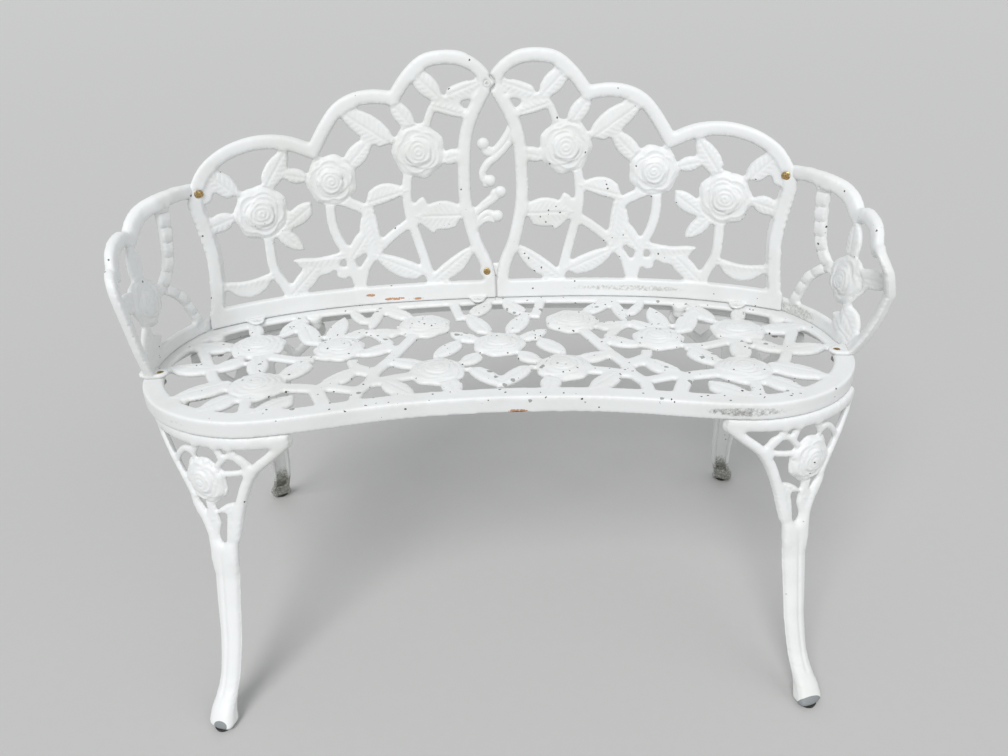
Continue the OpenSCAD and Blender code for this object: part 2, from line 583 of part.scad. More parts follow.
// The shank is lofted: u runs from -1 at its inner edge to 1 at its outer edge
function shank_column(i) = [for (v = shank_edges) [v[0], v[i]]];
function shank_t(u, z) = lookup(z, shank_column(1)) * (1 - u) / 2 + lookup(z, shank_column(2)) * (1 + u) / 2;
function shank_face(u, z) = u * u * lookup(z, [for (v = shank_front) [v[0], v[2]]])
    - lookup(z, [for (v = shank_front) [v[0], v[1]]]);
function shank_grid(rear, us, zs, n, wall) = [for (u = us) [for (z = zs)
    leg_surface(rear, shank_t(u, z), leg_z(z), wall ? shank_face(u, z) + n : n)]];

module shank_solid(rear) {
    us = [-1, -0.8, -0.4, 0, 0.4, 0.8, 1];
    zs = [0, 3, 8, 15, 24, 34, 46, 60, 80, 110, 150, 190, 215, 228, 240];
    leg_skin(rear, shank_grid(rear, us, zs, 0, true), shank_grid(rear, us, zs, shank_depth, false));
}

// The open channel behind the shank
module shank_channel(rear) {
    us = [-0.6, 0, 0.6];
    zs = [36, 60, 80, 110, 150, 190, 215, 232];
    leg_skin(rear, shank_grid(rear, us, zs, 5, true), shank_grid(rear, us, zs, shank_depth + 12, false));
}

function knee(rear) = leg_flat(rear, concat([for (i = [0:3]) [shank_edges[i][1] + 0.4, shank_edges[i][0]]],
    [for (i = [3:-1:0]) [shank_edges[i][2] - 0.4, shank_edges[i][0]]]));

module leg_frame(rear) {
    shapes([for (v = leg_bars) leg_flat(rear, ribbon(v[0], v[1]))]);
    polygon(concat(leg_flat(rear, [for (k = [0:12]) [30 + k * 18.6, 378]]),
        leg_flat(rear, [for (k = [12:-1:0]) [30 + k * 18.6, 395]])));
    polygon(leg_flat(rear, disc([40, 384], 11)));
}

module leg_pattern(rear) {
    offset(r = -2.5, $fn = 8) offset(r = 2.5, $fn = 8) union() {
        leg_frame(rear);
        polygon(knee(rear));
        shapes([for (v = leg_stems) leg_flat(rear, ribbon(v[0], v[1]))]);
        shapes([for (v = leg_leaves) leg_flat(rear, leaf(v[0], v[1], v[2], v[3]))]);
        shapes([for (v = leg_buds) leg_flat(rear, disc(v, v[2]))]);
        polygon(leg_flat(rear, rose_outline(leg_rose, leg_rose[2])));
    }
}

module leg_body(rear) {
    difference() {
        union() {
            leg_layer(rear, 1, 8) leg_pattern(rear);
            leg_layer(rear, -1, 9) offset(delta = 0) leg_frame(rear);
            leg_layer(rear, -2, 3) polygon(leg_flat(rear, rose_outline(leg_rose, leg_rose[2] - 4, 7, 0.05)));
            leg_layer(rear, -4, 3) polygon(leg_flat(rear, rose_outline(leg_rose, leg_rose[2] * 0.5, 5, 0.06)));
            shank_solid(rear);
            for (t = lug_along) leg_lug(rear, t);
        }
        shank_channel(rear);
        leg_layer(rear, -10, 25) polygon(leg_flat(rear, leg_slot));
        translate([-100, -400, glide_height - 50]) cube([800, 900, 50]);
        translate([-100, -400, skirt_bottom - fit_gap]) cube([800, 900, 60]);
        for (t = lug_along) translate(lug_spot(rear, t, lug_inset)) translate([0, 0, -30]) cylinder(h = 40, d = bore, $fn = 32);
    }
}

function lug_spot(rear, t, n) = leg_surface(rear, t, skirt_bottom, n);

// A small ear behind the apron that takes the screw into the seat
module leg_lug(rear, t) {
    translate([0, 0, -fit_gap - 7]) linear_extrude(height = 7) hull() {
        translate(lug_spot(rear, t, lug_inset)) circle(d = lug_diameter, $fn = 32);
        translate(lug_spot(rear, t, 7)) circle(d = 12, $fn = 32);
    }
}

module leg_front_right() {
    color(paint) standing() translate([front_leg_shift, 0, 0]) leg_body(false);
}
module leg_front_left() {
    color(paint) standing() translate([front_leg_shift, 0, 0]) mirror([1, 0, 0]) leg_body(false);
}
module leg_rear_right() {
    color(paint) standing() leg_body(true);
}
module leg_rear_left() {
    color(paint) standing() mirror([1, 0, 0]) leg_body(true);
}

// Pads under the feet

function foot_spot(rear) = let (p = leg_surface(rear, 150, 6, -1)) [p[0], p[1]];
module glide(m, rear) {
    p = foot_spot(rear);
    color(dark) standing() translate([m * p[0] + (rear ? 0 : front_leg_shift), p[1], 0])
        cylinder(h = glide_height, d1 = glide_diameter - 2, d2 = glide_diameter, $fn = 48);
}

module glide_front_left() { glide(-1, false); }
module glide_front_right() { glide(1, false); }
module glide_rear_left() { glide(-1, true); }
module glide_rear_right() { glide(1, true); }

// Fasteners, drawn with the head top at z = 0 and the shank pointing down

module screw(length) {
    color(metal) difference() {
        union() {
            translate([0, 0, -countersink]) cylinder(h = countersink, d1 = screw_diameter, d2 = head_diameter, $fn = 32);
            translate([0, 0, -length]) cylinder(h = length - 0.5, d = screw_diameter, $fn = 32);
        }
        for (a = [0, 90]) rotate([0, 0, a]) translate([-2.6, -0.5, -1.6]) cube([5.2, 1, 2]);
    }
}

module nut() {
    color(metal) difference() {
        rotate([0, 0, 30]) cylinder(h = nut_height, d = nut_width / cos(30), $fn = 6);
        translate([0, 0, -1]) cylinder(h = nut_height + 2, d = screw_diameter, $fn = 32);
    }
}

module top_joint_screw() {
    standing() leaning(-5, lap_height) translate([0, 0, -3]) rotate([180, 0, 0]) screw(18);
}
module top_joint_nut() {
    standing() leaning(-5, lap_height) translate([0, 0, 9.2 + fit_gap]) nut();
}
module bottom_joint_screw() {
    standing() leaning(low_joint[0], low_joint[1]) translate([0, 0, -3]) rotate([180, 0, 0]) screw(18.5);
}
module bottom_joint_nut() {
    standing() leaning(low_joint[0], low_joint[1]) translate([0, 0, 10 + fit_gap]) nut();
}
module arm_back_screws() {
    standing() for (m = [-1, 1]) arm_joint_frame(m) translate([0, 0, -3.2]) rotate([180, 0, 0]) screw(23.5);
}
module arm_back_nuts() {
    standing() for (m = [-1, 1]) arm_joint_frame(m) translate([0, 0, lap_at + fit_gap + 7]) nut();
}
module tab_screws() {
    standing() for (p = tab_points()) translate([p[0], p[1], seat_height + 5 + fit_gap]) screw(19);
}
module tab_nuts() {
    standing() for (p = tab_points()) translate([p[0], p[1], under_plate - nut_height]) nut();
}
module arm_seat_screws() {
    standing() for (p = arm_seat_points()) translate([p[0], p[1], seat_height + 5 + fit_gap]) screw(19);
}
module arm_seat_nuts() {
    standing() for (p = arm_seat_points()) translate([p[0], p[1], under_plate - nut_height]) nut();
}
module leg_screws() {
    color(metal) standing() for (p = lug_places()) translate([p[0], p[1], skirt_bottom - fit_gap - 7]) {
        translate([0, 0, -nut_height]) cylinder(h = nut_height, d = nut_width / cos(30), $fn = 6);
        translate([0, 0, -1]) cylinder(h = 7 + leg_thread - 1, d = screw_diameter, $fn = 32);
    }
}

seat();
back_panel_left();
back_panel_right();
arm_left();
arm_right();
leg_front_left();
leg_front_right();
leg_rear_left();
leg_rear_right();
glide_front_left();
glide_front_right();
glide_rear_left();
glide_rear_right();
top_joint_screw();
top_joint_nut();
bottom_joint_screw();
bottom_joint_nut();
arm_back_screws();
arm_back_nuts();
tab_screws();
tab_nuts();
arm_seat_screws();
arm_seat_nuts();
leg_screws();
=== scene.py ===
# Worn white garden bench, two seats wide: cast relief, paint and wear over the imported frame
import math

import bmesh
import bpy
import numpy as np
from mathutils import Matrix, Vector
from mathutils.kdtree import KDTree


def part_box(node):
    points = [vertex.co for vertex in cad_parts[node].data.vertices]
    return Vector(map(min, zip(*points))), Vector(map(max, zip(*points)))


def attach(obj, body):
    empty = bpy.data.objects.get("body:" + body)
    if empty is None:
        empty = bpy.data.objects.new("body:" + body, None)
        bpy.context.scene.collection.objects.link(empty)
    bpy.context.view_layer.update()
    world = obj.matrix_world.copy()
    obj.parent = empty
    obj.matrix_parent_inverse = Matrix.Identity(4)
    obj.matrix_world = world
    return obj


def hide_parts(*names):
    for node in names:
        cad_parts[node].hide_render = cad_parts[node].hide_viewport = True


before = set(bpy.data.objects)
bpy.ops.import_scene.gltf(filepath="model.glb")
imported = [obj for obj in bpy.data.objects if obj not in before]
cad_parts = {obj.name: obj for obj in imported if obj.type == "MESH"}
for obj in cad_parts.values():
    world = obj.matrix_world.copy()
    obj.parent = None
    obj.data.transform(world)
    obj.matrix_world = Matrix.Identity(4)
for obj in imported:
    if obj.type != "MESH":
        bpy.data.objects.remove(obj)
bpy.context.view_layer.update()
scene = bpy.context.scene
mm = 0.001
print("frame loaded:", len(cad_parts), "nodes")

bench = {
    "skirtHeight": 24,      # from the skirt's lower edge up to the seat top
    "seatRear": 328,        # how far the seat's rear edge lies behind its own plan origin
    "backLean": 6,          # degrees
    "armLean": 7.0,         # degrees
    "frontLegShift": 6,     # how far the front legs are set to the right
    "voxel": 1.7,           # mesh size of the castings
    "quickVoxel": 3.6,
}

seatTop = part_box("seat")[0].z / mm + bench["skirtHeight"]
planShift = bench["seatRear"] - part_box("seat")[1].y / mm
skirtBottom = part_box("seat")[0].z / mm
planMiddle = (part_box("seat")[0].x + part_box("seat")[1].x) / 2 / mm
leanSlope = math.tan(math.radians(bench["backLean"]))
voxel = bench["voxel"] * mm

# Plan lines that the castings are bent along, in millimetres, right half

seatPlan = [(0, 328), (100, 325), (200, 314), (300, 295), (380, 267), (440, 231), (478, 185),
            (497, 135), (500, 85), (492, 38), (470, -4), (440, -37), (400, -62), (360, -75),
            (325, -78), (280, -73), (230, -63), (170, -50), (100, -40), (0, -35)]
armPlan = [(448, 236), (460, 217), (474, 190), (486, 158), (492, 124), (494, 90), (492, 62),
           (487, 36), (478, 12)]
planSteps = 40          # points made between two neighbouring points of the seat's plan
cornerSpan = {"front": (8.3, 15.6), "rear": (2.62, 7.1)}    # the legs' share of it, counted in its points


def smoothLine(points, steps):
    p = np.array(points, float)
    padded = np.vstack([p[:1], p, p[-1:]])
    made = []
    for i in range(len(p) - 1):
        a, b, c, d = padded[i:i + 4]
        for t in np.arange(steps) / steps:
            made.append(0.5 * (2 * b + (c - a) * t + (2 * a - 5 * b + 4 * c - d) * t * t
                               + (3 * b - a - 3 * c + d) * t ** 3))
    made.append(p[-1])
    return np.array(made)


class PlanLine:
    # A plan line with its running length and the unit normal on its left
    def __init__(self, points, start=0.0, reverseNormal=False):
        self.points = np.array(points, float)
        steps = np.diff(self.points, axis=0)
        self.length = np.concatenate([[0], np.cumsum(np.hypot(*steps.T))]) + start
        tangent = np.gradient(self.points, axis=0)
        tangent /= np.hypot(*tangent.T)[:, None]
        self.normal = np.stack([-tangent[:, 1], tangent[:, 0]], 1) * (-1 if reverseNormal else 1)

    def locate(self, p):
        along = np.empty(len(p))
        away = np.empty(len(p))
        normal = np.empty((len(p), 2))
        chunk = 8000        # places compared at a time, to spare memory
        for i in range(0, len(p), chunk):
            q = p[i:i + chunk]
            near = ((q[:, None, :] - self.points[None]) ** 2).sum(2).argmin(1)
            d = q - self.points[near]
            n = self.normal[near]
            along[i:i + chunk] = self.length[near] + d[:, 0] * n[:, 1] - d[:, 1] * n[:, 0]
            away[i:i + chunk] = (d * n).sum(1)
            normal[i:i + chunk] = n
        return along, away, normal


def evenPoints(line, spacing=2.0):
    steps = np.hypot(*np.diff(line, axis=0).T)
    total = np.concatenate([[0], np.cumsum(steps)])
    want = np.arange(0, total[-1], spacing)
    return np.stack([np.interp(want, total, line[:, k]) for k in (0, 1)], 1)


# How far behind the plan origin the back stands, at a place along its width
def backRow(s):
    return 317 - 220.6 * (s / 1000) ** 2 - 1376 * (s / 1000) ** 4


def cornerPoints(end):
    first, last = cornerSpan[end]
    return seatLine[int(first * planSteps):int(last * planSteps)]


backStart = -20.0       # the back's plan line begins a little past the middle
backX = np.arange(backStart, 521.0, 2.0)
backPlan = PlanLine(np.stack([backX, backRow(backX)], 1), start=backStart)
armLine = PlanLine(evenPoints(smoothLine(armPlan, 12)))
seatLine = smoothLine(seatPlan, planSteps)
seatEdge = PlanLine(evenPoints(seatLine))
frontCorner = PlanLine(evenPoints(cornerPoints("front")[::-1]))
rearCorner = PlanLine(evenPoints(cornerPoints("rear")), reverseNormal=True)


# The pattern of each casting, in millimetres on its own flat drawing: roses are (along, up, radius),
# leaves are (base, tip, width)

seatPattern = {
    "roseLow": 0.9,         # the seat's roses are flatter than the others
    "roses": [(362, 155, 42), (332, 23, 40), (237, 136, 39), (116, 212, 43), (88, 51, 40), (0, 135, 40)],
    "leaves": [
        ((16, 172), (48, 250), 29), ((42, 248), (11, 303), 27), ((32, 148), (74, 181), 24),
        ((57, 148), (96, 94), 27), ((28, 102), (56, 70), 25), ((42, 60), (-6, 0), 25),
        ((139, 242), (189, 294), 27), ((192, 288), (200, 202), 18), ((149, 185), (207, 195), 27),
        ((206, 203), (237, 162), 24), ((156, 145), (203, 111), 27), ((254, 162), (246, 255), 29),
        ((209, 228), (241, 284), 17), ((276, 152), (311, 238), 31), ((309, 262), (337, 188), 29),
        ((272, 97), (307, 40), 32), ((372, 192), (389, 244), 21), ((396, 153), (466, 162), 33),
        ((369, 112), (406, 77), 28), ((409, 80), (472, 89), 32), ((352, 115), (339, 52), 29),
        ((369, 35), (438, -6), 36), ((352, -2), (391, -44), 31), ((272, -12), (321, -54), 29),
        ((109, 72), (161, 90), 26), ((159, 23), (116, -20), 29), ((71, 25), (61, -17), 27),
        ((206, 63), (247, 20), 27)],
    "rim": (14, 20),        # the flat rim keeps its edge, and the fullness begins behind it
    "skirtDepth": 12,       # below this the casting keeps its edge too
}
backPattern = {
    "roses": [(116, 241, 42.5), (255, 204, 40), (367, 166, 42.5)],
    "leaves": [
        ((123, 276), (155, 318), 25), ((155, 252), (236, 308), 35), ((232, 220), (188, 264), 28),
        ((80, 226), (46, 236), 21), ((93, 308), (33, 290), 21), ((73, 320), (12, 342), 25),
        ((79, 318), (122, 361), 29), ((207, 165), (139, 182), 28), ((201, 156), (188, 82), 29),
        ((235, 79), (196, 131), 26), ((293, 211), (330, 220), 21), ((358, 200), (318, 256), 29),
        ((288, 170), (336, 137), 26), ((346, 135), (309, 100), 22), ((399, 195), (442, 238), 28),
        ((410, 164), (452, 154), 26), ((359, 66), (444, 67), 25), ((245, 84), (328, 86), 28),
        ((335, 32), (281, 82), 28), ((104, 35), (34, 88), 26), ((114, 43), (198, 81), 28),
        ((50, 139), (125, 140), 44)],
    "railTop": 29,
    "joint": (34, 312),     # half width and lower end of the place where the panels meet at the top
}
armPattern = {
    "roses": [(126, 87, 37)],
    "leaves": [((124, 112), (112, 168), 27), ((146, 100), (192, 104), 26), ((138, 56), (176, 20), 24),
               ((178, 8), (118, 34), 26)],
    "vines": [[(52, 205), (54, 173), (57, 148), (61, 126), (69, 107), (82, 93), (98, 88)],
              [(84, 92), (71, 83), (55, 68), (46, 49), (38, 28), (33, 16)]],
    "railTop": 20,
    "half": 8,              # from the plan line out to the leafwork's face
    "flare": (20, 105),     # along the arm, where it starts to lean outward and where it leans fully
    "outLean": 0.13,
    "backFade": 60,         # the arm takes over the back's lean along this length
    "bowFrom": 150,
    "bowOver": 35,
    "bowRight": 27,         # how far the right front tube bows outward
    "bowShare": ((0, 25, 60, 95, 125, 150), (0.2, 0.55, 0.84, 1, 0.6, 0)),
}
legPattern = {
    "roses": [(152, 327, 34)],
    "leaves": [((110, 297), (148, 270), 14), ((182, 296), (150, 254), 16)],
    "blend": (236, 16),     # where the shank's head melts into the branches, and how far
    "barsFade": (205, 300),
    "groove": [(137, 232), (141, 200), (142, 150), (142, 100), (146, 60), (149, 40)],
    "splayFront": (0.00002, -0.00074),
    "splayRear": (0.0002, 0.00076),
}


def soft(x, low, high):
    t = np.clip((x - low) / (high - low), 0, 1)
    return t * t * (3 - 2 * t)


roseForm = {
    "dome": 1.0,
    "rise": 1.7,
    "squash": 1.04,         # roses are a little lower than they are wide
    "step": 0.6,            # drop from each whorl of petals to the next
    "stepHalf": 0.9,
    "lip": 1.1,
    "lipInside": 1.3,       # from a petal's edge in to the middle of its lip
    "lipWidth": 1.5,
    "rimFade": 0.06,
    "petal": (0.90, 0.16, 0.03),        # a petal edge's radius, its lobes and its lean to one side
    "turn": 0.4,            # of the first rose, and what each next one adds
    "turnEach": 0.9,
    "whorls": [(0.13, 1, 0.4), (0.28, 2, 1.1), (0.44, 3, 0.2), (0.61, 3, 1.9), (0.80, 5, 0.9)],
}


# Whorls of petals that step down from the bud to the rim, each with a thin raised lip
def roseHeight(p, rose, turn):
    centre, radius = np.array(rose[:2], float), rose[2]
    d = (p - centre) / radius
    r = np.hypot(d[:, 0], d[:, 1] * roseForm["squash"])
    angle = np.arctan2(d[:, 1], d[:, 0]) + turn
    height = roseForm["dome"] * (1 - r ** 2) + roseForm["rise"]
    mean, lobes, lean = roseForm["petal"]
    for size, petals, shift in roseForm["whorls"]:
        lobe = np.abs(np.cos(petals * (angle + shift) / 2))
        edge = size * (mean + lobes * lobe + lean * np.cos(angle - 2 * shift))
        gap = (r - edge) * radius
        height = height - roseForm["step"] * soft(gap, -roseForm["stepHalf"], roseForm["stepHalf"])
        height += roseForm["lip"] * np.exp(-((gap + roseForm["lipInside"]) / roseForm["lipWidth"]) ** 2)
    return height * soft(1 - r, 0, roseForm["rimFade"]), r < 1.0


leafForm = {
    "widest": 0.85,         # a lower value moves the widest place towards the base
    "fullness": 0.75,       # below 1, its sides are fuller than a sine
    "foot": 0.3,            # width at the base, as a share of the leaf's
    "dome": 1.1,            # how far a leaf swells between its edges
    "veinDepth": 0.9,
    "veinWidth": 1.8,
    "veinSpacing": 8.5,
    "sideSlant": 0.75,
    "sideWidth": 0.75,
    "midDeep": 1.25,
    "sideDeep": 0.75,
}


# A leaf swells along its middle and carries one long vein with side veins running to the tip
def leafHeight(p, leaf):
    base, tip = np.array(leaf[0], float), np.array(leaf[1], float)
    length = np.hypot(*(tip - base))
    along = (tip - base) / length
    d = p - base
    u = (d @ along) / length
    v = d @ np.array([-along[1], along[0]])
    uSafe = np.clip(u, 0, 1)
    swell = np.sin(np.pi * uSafe ** leafForm["widest"]) ** leafForm["fullness"] * (0.7 + 0.3 * uSafe)
    half = leaf[2] / 2 * (leafForm["foot"] * (1 - uSafe) + swell + 0.04)
    inside = (u > -0.02) & (u < 1.05) & (np.abs(v) < half + 1.5)
    across = np.clip(np.abs(v) / np.maximum(half, 1), 0, 1)
    dome = leafForm["dome"] * (1 - across ** 2)
    midVein = np.exp(-(v / leafForm["veinWidth"]) ** 2) * soft(1 - uSafe, 0.02, 0.15)
    slant = (u * length - np.abs(v) * leafForm["sideSlant"]) / leafForm["veinSpacing"]
    wave = np.abs((slant % 1) - 0.5) * leafForm["veinSpacing"]
    sideVein = (np.exp(-(wave / (leafForm["veinWidth"] * leafForm["sideWidth"])) ** 2)
                * soft(across, 0.1, 0.3) * soft(1 - across, 0.02, 0.25))
    veins = midVein * leafForm["midDeep"] + sideVein * leafForm["sideDeep"]
    return dome - leafForm["veinDepth"] * veins, inside


def lineDistance(p, line):
    spacing = 1.5
    best = np.full(len(p), 1e9)
    run = np.zeros(len(p))
    for k, q in enumerate(evenPoints(smoothLine(line, 8), spacing)):
        d = np.hypot(p[:, 0] - q[0], p[:, 1] - q[1])
        run = np.where(d < best, k * spacing, run)
        best = np.minimum(best, d)
    return best, run


# From a casting's vertices to its flat drawing: place, depth behind the face, way out of the face

def seatFlat(co):
    out = np.zeros_like(co)
    out[:, 2] = 1
    return np.stack([np.abs(co[:, 0] - planMiddle), co[:, 1] + planShift], 1), seatTop - co[:, 2], out


def backFlat(co, side):
    z = co[:, 2] - seatTop
    p = np.stack([(co[:, 0] - planMiddle) * side, co[:, 1] + planShift - z * leanSlope], 1)
    s, away, normal = backPlan.locate(p)
    out = np.stack([-normal[:, 0] * side, -normal[:, 1], np.full(len(co), leanSlope)], 1)
    out /= np.linalg.norm(out, axis=1)[:, None]
    return np.stack([s, z], 1), away, out


def armFlat(co, side):
    z = co[:, 2] - seatTop
    bow = armPattern["bowRight"] if side > 0 else 0
    p = np.stack([(co[:, 0] - planMiddle) * side, co[:, 1] + planShift], 1)
    t, away, normal = armLine.locate(p)
    for _ in range(3):      # the lean depends on the place along the arm, and the place on the lean
        flare = soft(t, *armPattern["flare"])
        bend = np.clip((t - armPattern["bowFrom"]) / armPattern["bowOver"], 0, 1)
        bend = bend * np.interp(z, *armPattern["bowShare"])
        shift = math.tan(math.radians(bench["armLean"])) * z * flare + bow * bend
        q = p - normal * shift[:, None]
        q[:, 1] -= np.clip(1 - t / armPattern["backFade"], 0, None) * z * leanSlope
        t, away, normal = armLine.locate(q)
    out = np.stack([-normal[:, 0] * side, -normal[:, 1], np.full(len(co), armPattern["outLean"])], 1)
    out /= np.linalg.norm(out, axis=1)[:, None]
    return np.stack([t, z], 1), away + armPattern["half"], out


def legFlat(co, side, rear):
    z = co[:, 2]
    drop = np.clip(skirtBottom - z, 0, None)
    splay = legPattern["splayRear"] if rear else legPattern["splayFront"]
    middle = planMiddle + (0 if rear else bench["frontLegShift"])
    p = np.stack([(co[:, 0] - middle) * side - splay[0] * drop ** 2,
                  co[:, 1] + planShift - splay[1] * drop ** 2], 1)
    t, away, normal = (rearCorner if rear else frontCorner).locate(p)
    out = np.stack([-normal[:, 0] * side, -normal[:, 1], np.zeros(len(co))], 1)
    return np.stack([t, z], 1), away, out


# Building one casting

def vertexArray(mesh):
    co = np.empty(len(mesh.vertices) * 3, np.float32)
    mesh.vertices.foreach_get("co", co)
    return co.reshape(-1, 3).astype(float)


def vertexNormals(mesh):
    n = np.empty(len(mesh.vertices) * 3, np.float32)
    mesh.vertex_normals.foreach_get("vector", n)
    return n.reshape(-1, 3).astype(float)


def edgeArray(mesh):
    e = np.empty(len(mesh.edges) * 2, np.int32)
    mesh.edges.foreach_get("vertices", e)
    return e.reshape(-1, 2)


def neighbourMean(values, edges):
    size = len(values)
    first, second = edges.T
    count = np.maximum(np.bincount(edges.ravel(), minlength=size), 1)
    columns = [np.bincount(first, v[second], size) + np.bincount(second, v[first], size)
               for v in values.reshape(size, -1).T]
    return (np.stack(columns, 1) / count[:, None]).reshape(values.shape)


# How many rounds each mask or form is evened out
rounds = {"barMask": 14, "walls": 50, "steps": 3, "blend": 30, "cavity": 8, "scroll": 6}


def spreadOut(values, edges, times):
    for _ in range(times):
        values = neighbourMean(values, edges)
    return values


# Moves each vertex a share of the way to its neighbours' mean
def evenOut(co, edges, times, share=0.5):
    for _ in range(times):
        co = co + share * (neighbourMean(co, edges) - co)
    return co


def remeshPiece(piece, size):
    remesh = piece.modifiers.new("fine", "REMESH")
    remesh.mode = "VOXEL"
    remesh.voxel_size = size
    depsgraph = bpy.context.evaluated_depsgraph_get()
    made = bpy.data.meshes.new_from_object(piece.evaluated_get(depsgraph))
    piece.modifiers.clear()
    old = piece.data
    piece.data = made
    bpy.data.meshes.remove(old)
    made.materials.clear()


# A finely meshed copy of a casting's CAD solid
def fineCopy(node):
    piece = bpy.data.objects.new("cast_" + node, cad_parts[node].data.copy())
    scene.collection.objects.link(piece)
    remeshPiece(piece, voxel)
    return piece


# Each front vertex's distance to the nearest side wall of the open pattern, in millimetres
def wallDistance(co, facing):
    isWall = np.abs(facing) < 0.55
    walls = np.flatnonzero(isWall)
    tree = KDTree(len(walls))
    for i in walls:
        tree.insert(co[i], int(i))
    tree.balance()
    found = np.zeros(len(co))
    for i in np.flatnonzero(~isWall):
        found[i] = tree.find(co[i])[2]
    return found


# How far each vertex lies from the front face (0) to the rear face (1), spread evenly over the walls
def faceShare(facing, edges):
    flat = 0.6
    share = np.where(facing > flat, 0.0, np.where(facing < -flat, 1.0, 0.5))
    fixed = np.abs(facing) > flat
    for _ in range(rounds["walls"]):
        share = np.where(fixed, share, neighbourMean(share, edges))
    return share


lineForm = {
    "vineHalf": 9,
    "ringSpacing": 21.0,    # from one ring of a vine to the next
    "ringWidth": 1.6,
    "ringDepth": 1.5,
    "ringSwell": 0.7,
    "grooveWidth": 2.4,
    "grooveDepth": 1.6,
}


# The relief over a casting's flat drawing: roses first, then leaves, ringed vines and a shank's groove
def patternHeight(p, pattern, isBar):
    height = np.zeros(len(p))
    done = np.zeros(len(p), bool)
    for k, rose in enumerate(pattern["roses"]):
        h, inside = roseHeight(p, rose, roseForm["turnEach"] * k + roseForm["turn"])
        h = h * pattern.get("roseLow", 1.0)
        use = inside & ~done
        height[use] = h[use]
        done |= inside
    for leaf in pattern["leaves"]:
        h, inside = leafHeight(p, leaf)
        use = inside & ~done & ~isBar
        height[use] = h[use]
        done |= use
    for vine in pattern.get("vines", []):
        away, run = lineDistance(p, vine)
        onVine = (away < lineForm["vineHalf"]) & ~done & ~isBar
        turn = run / lineForm["ringSpacing"]
        ring = np.abs(turn % 1 - 0.5) * lineForm["ringSpacing"]
        notch = np.exp(-(ring / lineForm["ringWidth"]) ** 2) * onVine
        swell = lineForm["ringSwell"] * np.cos(turn * 2 * np.pi) * onVine
        height += swell - lineForm["ringDepth"] * notch
    if "groove" in pattern:
        away = lineDistance(p, pattern["groove"])[0]
        height -= lineForm["grooveDepth"] * np.exp(-(away / lineForm["grooveWidth"]) ** 2)
    return height


castLook = {
    "leafGrow": 0.9,        # the paint's and the sand mould's fullness at open edges
    "barGrow": 0.35,
    "leafRound": 3.6,       # edge rounding of leaves and stems
    "barRound": 8.5,        # edge rounding of the outline bars
    "crown": 0.55,
    "rearCrown": 0.6,
    "innerFace": 0.8,       # share of the relief on an arm's other face
    "faceFade": (0.35, 0.75),
    "lastEven": 0.35,
}


# The casting's fullness at open edges, its rounded crown and its relief
def castForm(mesh, flat, pattern, barFace, bothFaces, mayGrow):
    co = vertexArray(mesh) / mm
    edges = edgeArray(mesh)
    p, depth, out = flat(co)
    facing = (vertexNormals(mesh) * out).sum(1)
    inner = wallDistance(co, facing)
    barness = barFace(p, depth).astype(float)
    height = patternHeight(p, pattern, barness > 0.5)
    barness = spreadOut(barness, edges, rounds["barMask"])
    reach = castLook["leafRound"] + (castLook["barRound"] - castLook["leafRound"]) * barness
    share = np.clip(1 - inner / reach, 0, 1)
    crown = reach * castLook["crown"] * (1 - np.sqrt(1 - share ** 2))
    through = faceShare(facing, edges)
    co = evenOut(co, edges, rounds["steps"])
    normals = vertexNormals(mesh)
    sideways = normals - out * (normals * out).sum(1)[:, None]
    grow = castLook["leafGrow"] + (castLook["barGrow"] - castLook["leafGrow"]) * barness
    if mayGrow is not None:
        grow = grow * mayGrow(p, depth)
    co = co + sideways * grow[:, None]
    front = soft(facing, *castLook["faceFade"])
    rear = soft(-facing, *castLook["faceFade"])
    lift = front * height - rear * height * (castLook["innerFace"] if bothFaces else 0)
    lift += crown * (through * castLook["rearCrown"] - (1 - through))
    co = co + out * lift[:, None]
    co = evenOut(co, edges, 1, castLook["lastEven"])
    if "blend" in pattern:
        level, reachUp = pattern["blend"]
        melt = 0.5 * np.exp(-((p[:, 1] - level) / reachUp) ** 2)[:, None]
        co = evenOut(co, edges, rounds["blend"], melt)
    return co, edges


def setAttribute(mesh, name, values):
    layer = mesh.attributes.new(name, "FLOAT", "POINT")
    layer.data.foreach_set("value", values.astype(np.float32))


# Marks are (x, y, z, reach along x, y, z, strength), all in millimetres
def spotMask(co, marks):
    mask = np.zeros(len(co))
    for x, y, z, rx, ry, rz, strength in marks:
        d = np.sqrt(((co[:, 0] - x) / rx) ** 2 + ((co[:, 1] - y) / ry) ** 2 + ((co[:, 2] - z) / rz) ** 2)
        mask = np.maximum(mask, strength * (1 - soft(d, 0.4, 1.0)))
    return mask


cavityLook = {"crease": (3.0, 0.6), "broad": (0.5, 0.7)}     # gain on the hollow's depth, and weight


# Painted shade: darker in fine creases and broad hollows, where shade falls
def cavityMask(mesh, co, edges):
    normals = vertexNormals(mesh)
    hollow = ((neighbourMean(co, edges) - co) * normals).sum(1)
    broad = ((spreadOut(co, edges, rounds["cavity"]) - co) * normals).sum(1)
    cavity = 0
    for depth, (gain, weight) in ((hollow, cavityLook["crease"]), (broad, cavityLook["broad"])):
        cavity = cavity + np.clip(depth * gain, 0, 1) * weight
    return np.clip(cavity, 0, 1)


wearNames = ("rust", "soot", "bare", "algae", "wear")


def finishCasting(mesh, cavity, masks):
    setAttribute(mesh, "cavity", cavity)
    for name in wearNames:
        setAttribute(mesh, name, masks[name])
    mesh.polygons.foreach_set("use_smooth", np.ones(len(mesh.polygons), bool))
    mesh.materials.append(paint)


def moveVertices(mesh, co):
    mesh.vertices.foreach_set("co", co.astype(np.float32).ravel())
    mesh.update()


